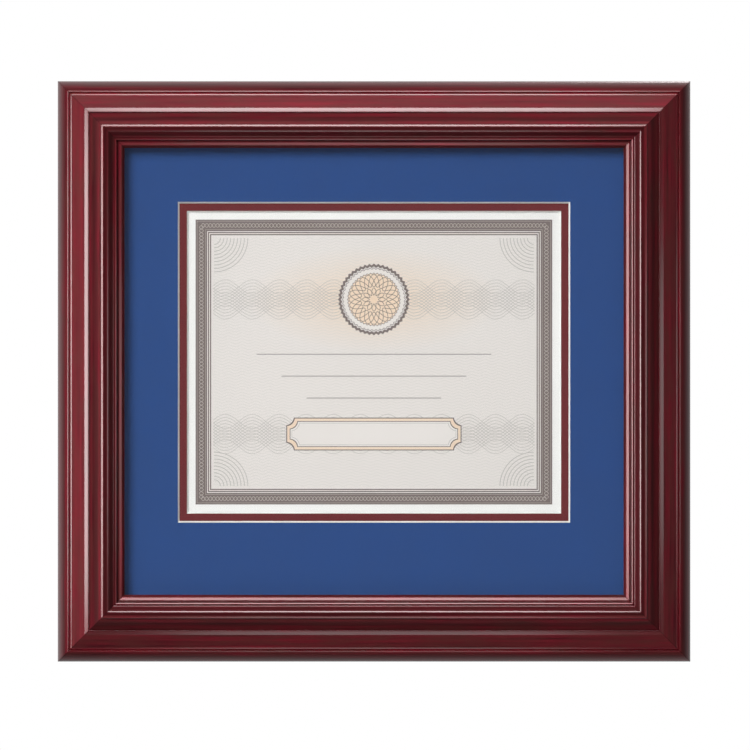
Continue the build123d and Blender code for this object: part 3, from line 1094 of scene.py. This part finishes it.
def light_world(scene):
    """A white backdrop to the camera, and a soft room that lights the frame from the upper left."""
    world = bpy.data.worlds.new("white_backdrop")
    scene.world = world
    world.use_nodes = True
    tree = world.node_tree
    tree.nodes.clear()
    rays = put(tree, "ShaderNodeLightPath").outputs
    way = axes(tree, put(tree, "ShaderNodeTexCoord").outputs["Generated"])
    room = mirrored_room(tree, way)
    slope = sums(tree, "MAXIMUM", sums(tree, "ADD", lean(tree, way, -0.8, 0.55), 1.0), 0.1)
    level = times(tree, span(tree, way["Y"], -0.2, 0.3, 0.28, 0.5), slope)
    least_through_glass = 0.24
    for ray, seen in (("Is Glossy Ray", room),
                      ("Is Transmission Ray", sums(tree, "MAXIMUM", room, least_through_glass)),
                      ("Is Camera Ray", (1, 1, 1, 1))):
        level = blend(tree, rays[ray], level, seen)
    glow = put(tree, "ShaderNodeBackground", Color=level, Strength=1.0)
    put(tree, "ShaderNodeOutputWorld", Surface=glow.outputs[0])


def softbox(name, across, up, distance, size, power, spread=70):
    """An area lamp seen from the frame at angles across and up, facing its middle."""
    let_go()
    side, rise = math.radians(across), math.radians(up)
    way = Vector((math.sin(side) * math.cos(rise), -math.cos(side) * math.cos(rise),
                  math.sin(rise)))
    bpy.ops.object.light_add(type="AREA", location=FRAME_MIDDLE + way * distance)
    lamp = bpy.context.object
    lamp.name = name
    lamp.rotation_euler = (-way).to_track_quat("-Z", "Y").to_euler()
    lamp.data.shape = "RECTANGLE"
    lamp.data.size, lamp.data.size_y = size
    lamp.data.energy = power
    lamp.data.spread = math.radians(spread)
    lamp.visible_transmission = False
    return lamp


def set_lamps():
    """A broad key, four strips that only the lacquer mirrors, and a lamp for the back."""
    key = softbox("key_light", across=-35, up=30, distance=2.6, size=(1.38, 1.38), power=13.3)
    key.visible_glossy = False
    for name, across, up, size, power in (
            ("gloss_left", -45, 0.3, (0.62, 0.35), 1.16),
            ("gloss_top", -0.3, 45, (0.40, 0.62), 1.3),
            ("gloss_right", 45, -0.9, (0.62, 0.20), 0.14),
            ("gloss_bottom", 0, -45, (0.27, 0.62), 0.175)):
        strip = softbox(name, across, up, distance=1.7, size=size, power=power)
        strip.visible_diffuse = False
    softbox("back_light", across=150, up=30, distance=1.6, size=(1.0, 1.0), power=14,
            spread=180)


def set_camera(scene, stage):
    """A long lens square to the front of the frame."""
    place = FRAME_MIDDLE + Vector((stage.camera_right, -stage.camera_distance, stage.camera_up))
    bpy.ops.object.camera_add(location=place, rotation=FACE_FRONT)
    camera = bpy.context.object
    camera.name = "camera"
    camera.data.sensor_width = 36.0
    camera.data.lens = camera.data.sensor_width * stage.camera_distance / stage.view_width
    camera.data.clip_end = 60
    scene.camera = camera
    scene.view_settings.view_transform = "Standard"


# Sizes and colours

def length(name, description, default, least=0.0):
    """A size that a user may change."""
    return bpy.props.FloatProperty(name=name, description=description, unit="LENGTH",
                                   default=default, min=least)


def colour(name, description, default):
    """A colour that a user may change."""
    return bpy.props.FloatVectorProperty(name=name, description=description, subtype="COLOR",
                                         default=default, min=0, max=1)


class FrameLook(bpy.types.PropertyGroup):
    """Finish of the moulding."""
    stain_dark: colour("Dark stain", "Cherry stain in the dark streaks of the wood",
                       (0.036, 0.002, 0.005))
    stain_light: colour("Light stain", "Cherry stain in the light streaks of the wood",
                        (0.195, 0.007, 0.018))
    stain_brown: colour("Brown stain", "Browner patches that run through the stain",
                        (0.078, 0.017, 0.015))
    lacquer_roughness: bpy.props.FloatProperty(
        name="Lacquer roughness", description="Roughness of the clear lacquer",
        subtype="FACTOR", default=0.12, min=0, max=1)


class MatSizes(bpy.types.PropertyGroup):
    """Borders and colours of the two window mats."""
    side_border: length("Side border", "Outer mat beside the window", 0.03875)
    top_border: length("Top border", "Outer mat above the window", 0.0383)
    bottom_border: length("Bottom border", "Outer mat below the window", 0.0516)
    reveal: length("Reveal", "Inner mat between the two window edges", 0.0058)
    bevel: length("Bevel", "Width of the sloped cut round a window", 0.00105)
    glass_gap: length("Glass gap", "Air between the outer mat and the glass", 0.00005)
    blue: colour("Blue mat", "Paper face of the outer mat", srgb(42, 77, 138))
    maroon: colour("Maroon mat", "Paper face of the inner mat", srgb(112, 41, 45))


class PrintLook(bpy.types.PropertyGroup):
    """Sizes and colours of the printed design."""
    border_width: length("Border width", "Printed border across its outside", 0.2279)
    border_height: length("Border height", "Printed border from bottom to top", 0.1820)
    band: length("Band", "Broad band of the printed border", 0.00735)
    seal_level: length("Seal level", "Middle of the seal, up from the middle of the sheet",
                       0.040, least=-0.2)
    plaque_level: length("Plaque level", "Middle of the plaque, up from the middle of the sheet",
                         -0.046, least=-0.2)
    seal_radius: length("Seal radius", "Outside of the seal", 0.023)
    band_colour: colour("Band ink", "Greige ink of the border", srgb(121, 107, 104))
    braid_colour: colour("Braid ink", "Pale ink of the braid on the border", srgb(186, 175, 170))
    field_colour: colour("Field", "Tinted ground inside the border", srgb(238, 231, 228))
    wave_colour: colour("Wave ink", "Grey ink of the wavy bands", srgb(190, 184, 180))
    fine_colour: colour("Fine ink", "Faint ink of the waves over the field", srgb(216, 212, 207))
    bloom_colour: colour("Bloom", "Warm tint behind the seal and on the plaque's rim",
                         srgb(243, 219, 196))
    rule_colour: colour("Rule ink", "Dark ink of the rules and outlines", srgb(112, 100, 98))


class FittingSizes(bpy.types.PropertyGroup):
    """Sizes of the turn buttons and their screws."""
    button_arm: length("Button arm", "Screw to the centre of the round tip", 0.018)
    button_width: length("Button width", "Width of a turn button", 0.010)
    button_thickness: length("Button thickness", "Steel of a turn button", 0.0012)
    button_edge: length("Button edge", "Rounding of a button's edges", 0.00025)
    button_gap: length("Button gap", "Play under a button and under a screw head", 0.0001)
    pivot_play: length("Pivot play", "Play round a screw in its button", 0.00005)
    screw_radius: length("Screw radius", "Shank of a screw", 0.00145)
    screw_shank: length("Shank length", "Shank of a screw from its head to its tip", 0.0109)
    screw_tip: length("Tip length", "Pointed tip of a screw", 0.0024)
    screw_head_radius: length("Head radius", "Head of a screw", 0.0031)
    screw_head_height: length("Head height", "Height of a screw head", 0.0017)
    screw_head_round: length("Head rounding", "Rounding of a screw head's edge", 0.0008)
    recess_length: length("Recess length", "Each slot of a screw's crossed recess", 0.0034)
    recess_width: length("Recess width", "Width of each slot of the recess", 0.0007)


class StageLook(bpy.types.PropertyGroup):
    """Place of the camera."""
    camera_distance: length("Camera distance", "Camera to the frame", 16.0)
    camera_right: length("Camera right", "Camera right of the frame's middle", 0.00062, least=-1)
    camera_up: length("Camera up", "Camera above the frame's middle", -0.00231, least=-1)
    view_width: length("View width", "Width that the camera sees at the frame", 0.4796)


# Operators

class CERTFRAME_OT_moulding(bpy.types.Operator):
    """Build the four mitred lengths of moulding"""
    bl_idname = "certframe.moulding"
    bl_label = "Moulding"

    def execute(self, context):
        finishes = (lacquered_wood(context.scene.certframe_look), raw_wood())
        right, up = Vector((1, 0, 0)), Vector((0, 0, 1))
        width, height = FRAME_RIGHT - FRAME_LEFT, FRAME_TOP - FRAME_BOTTOM
        cutter = nail_slot_cutter()
        for name, across, level, run, into, size in (
                ("bottom_rail", FRAME_LEFT, FRAME_BOTTOM, right, up, width),
                ("right_stile", FRAME_RIGHT, FRAME_BOTTOM, up, -right, height),
                ("top_rail", FRAME_RIGHT, FRAME_TOP, -right, -up, width),
                ("left_stile", FRAME_LEFT, FRAME_TOP, -up, right, height)):
            build_rail(name, Vector((across, 0, level)), run, into, size, finishes, cutter)
        bpy.data.objects.remove(cutter)
        return {"FINISHED"}


class CERTFRAME_OT_mats(bpy.types.Operator):
    """Build the two window mats"""
    bl_idname = "certframe.mats"
    bl_label = "Mats"

    def execute(self, context):
        mats = context.scene.certframe_mats
        core = pulp_board("white_mat_core", (0.86, 0.85, 0.83), (0.93, 0.92, 0.90), 1900.0, 0.9, 0.2)
        borders = (mats.side_border, mats.top_border, mats.bottom_border)
        build_mat("outer_mat", borders, mats.bevel, mats.glass_gap,
                  mat_paper("blue_mat_paper", mats.blue), core)
        borders = tuple(border + mats.reveal for border in borders)
        build_mat("inner_mat", borders, mats.bevel, 0,
                  mat_paper("maroon_mat_paper", mats.maroon), core)
        return {"FINISHED"}


class CERTFRAME_OT_certificate(bpy.types.Operator):
    """Lay a printed border, waves, a blank plaque, rules and a seal on the sheet"""
    bl_idname = "certframe.certificate"
    bl_label = "Certificate"

    def execute(self, context):
        look = context.scene.certframe_print
        plan = PrintPlan(look)
        dress("certificate", pulp_board("certificate_paper", (0.95, 0.93, 0.915),
                                        (0.99, 0.975, 0.965), 1500.0, 0.75, 0.08))
        inks = {name: ink(name, shade) for name, shade in (
            ("band", look.band_colour), ("braid", look.braid_colour), ("wave", look.wave_colour),
            ("fine", look.fine_colour), ("warm", look.bloom_colour), ("rule", look.rule_colour),
            ("plaque", look.field_colour), ("seal", look.field_colour))}
        field = flat_print("print_field", 0, plan.wide, plan.tall, layer=1)
        finish_print(field, field_tint(look, plan))
        lay_border(plan, inks["band"], inks["braid"])
        lay_waves(plan, inks["fine"], inks["wave"])
        lay_fans(plan, inks["wave"])
        lay_plaque(plan, inks)
        lay_seal(plan, inks)
        lay_rules(inks["rule"])
        return {"FINISHED"}


class CERTFRAME_OT_glazing(bpy.types.Operator):
    """Glaze the front"""
    bl_idname = "certframe.glazing"
    bl_label = "Glazing"

    def execute(self, context):
        dress("glazing", clear_glass())
        return {"FINISHED"}


class CERTFRAME_OT_boards(bpy.types.Operator):
    """Finish the boards, tapes and pockets behind the sheet"""
    bl_idname = "certframe.boards"
    bl_label = "Boards and tapes"

    def execute(self, context):
        for node, name, dark, light, fineness, roughness, bump in (
                ("mat_tape", "clear_mat_tape",
                 (0.80, 0.76, 0.66), (0.88, 0.85, 0.77), 900.0, 0.4, 0.05),
                ("mounting_corners", "pocket_paper",
                 (0.82, 0.81, 0.78), (0.90, 0.89, 0.87), 1700.0, 0.8, 0.1),
                ("mount_board", "white_mount_board",
                 (0.80, 0.79, 0.76), (0.88, 0.87, 0.85), 1600.0, 0.85, 0.12),
                ("hinge_tape", "linen_tape",
                 (0.72, 0.69, 0.62), (0.84, 0.82, 0.76), 2400.0, 0.85, 0.4),
                ("filler_board", "corrugated_liner",
                 (0.40, 0.26, 0.14), (0.52, 0.36, 0.21), 1100.0, 0.85, 0.2),
                ("backing_board", "brown_hardboard",
                 (0.145, 0.075, 0.038), (0.275, 0.155, 0.082), 700.0, 0.6, 0.35)):
            dress(node, pulp_board(name, dark, light, fineness, roughness, bump))
        return {"FINISHED"}


class CERTFRAME_OT_fittings(bpy.types.Operator):
    """Build the turn buttons, screws and bumpers, and finish the hanger and the nails"""
    bl_idname = "certframe.fittings"
    bl_label = "Fittings"

    def execute(self, context):
        zinc = plated_metal("zinc_plate", (0.42, 0.43, 0.44), (0.66, 0.67, 0.68), 900.0, 0.32)
        bright_zinc = plated_metal("zinc_screw_plate", (0.48, 0.48, 0.47), (0.74, 0.74, 0.73),
                                   1200.0, 0.26)
        brass = plated_metal("brassed_steel", (0.62, 0.38, 0.13), (0.88, 0.62, 0.26), 1000.0, 0.28)
        bright_brass = plated_metal("brassed_nail", (0.66, 0.47, 0.2), (0.86, 0.68, 0.34),
                                    1400.0, 0.2)
        steel = plated_metal("plain_steel", (0.28, 0.28, 0.29), (0.46, 0.46, 0.47), 800.0, 0.38)
        felt = pulp_board("grey_felt", (0.13, 0.13, 0.135), (0.24, 0.24, 0.245), 1300.0, 0.95, 0.6)
        dress("corner_v_nails", steel)
        soften_solid("hanger", "hanger_strip", 0.12 * MM, brass)
        soften_solid("hanger_nails", "hanger_nail_pair", 0.18 * MM, bright_brass)
        place_buttons(context.scene.certframe_fittings, zinc, bright_zinc)
        place_bumpers(felt)
        return {"FINISHED"}


class CERTFRAME_OT_stage(bpy.types.Operator):
    """Set the floor, the backdrop, the lamps and the camera"""
    bl_idname = "certframe.stage"
    bl_label = "Stage"

    def execute(self, context):
        lay_floor()
        light_world(context.scene)
        set_lamps()
        set_camera(context.scene, context.scene.certframe_stage)
        return {"FINISHED"}


class CERTFRAME_PT_panel(bpy.types.Panel):
    """Lists the pieces of the frame"""
    bl_idname = "CERTFRAME_PT_panel"
    bl_label = "Certificate Frame"
    bl_space_type = "VIEW_3D"
    bl_region_type = "UI"
    bl_category = "Certificate Frame"

    def draw(self, context):
        for operator in OPERATORS:
            self.layout.operator(operator.bl_idname)


OPERATORS = (
    CERTFRAME_OT_moulding, CERTFRAME_OT_mats, CERTFRAME_OT_certificate, CERTFRAME_OT_glazing,
    CERTFRAME_OT_boards, CERTFRAME_OT_fittings, CERTFRAME_OT_stage,
)
GROUPS = {
    "certframe_look": FrameLook, "certframe_mats": MatSizes, "certframe_print": PrintLook,
    "certframe_fittings": FittingSizes, "certframe_stage": StageLook,
}
CLASSES = tuple(GROUPS.values()) + OPERATORS + (CERTFRAME_PT_panel,)


def register():
    for kind in CLASSES:
        bpy.utils.register_class(kind)
    for name, group in GROUPS.items():
        setattr(bpy.types.Scene, name, bpy.props.PointerProperty(type=group))


def unregister():
    for name in GROUPS:
        delattr(bpy.types.Scene, name)
    for kind in reversed(CLASSES):
        bpy.utils.unregister_class(kind)


def main():
    register()
    bpy.ops.certframe.moulding()
    bpy.ops.certframe.mats()
    bpy.ops.certframe.certificate()
    bpy.ops.certframe.glazing()
    bpy.ops.certframe.boards()
    bpy.ops.certframe.fittings()
    bpy.ops.certframe.stage()


if __name__ == "__main__":
    main()
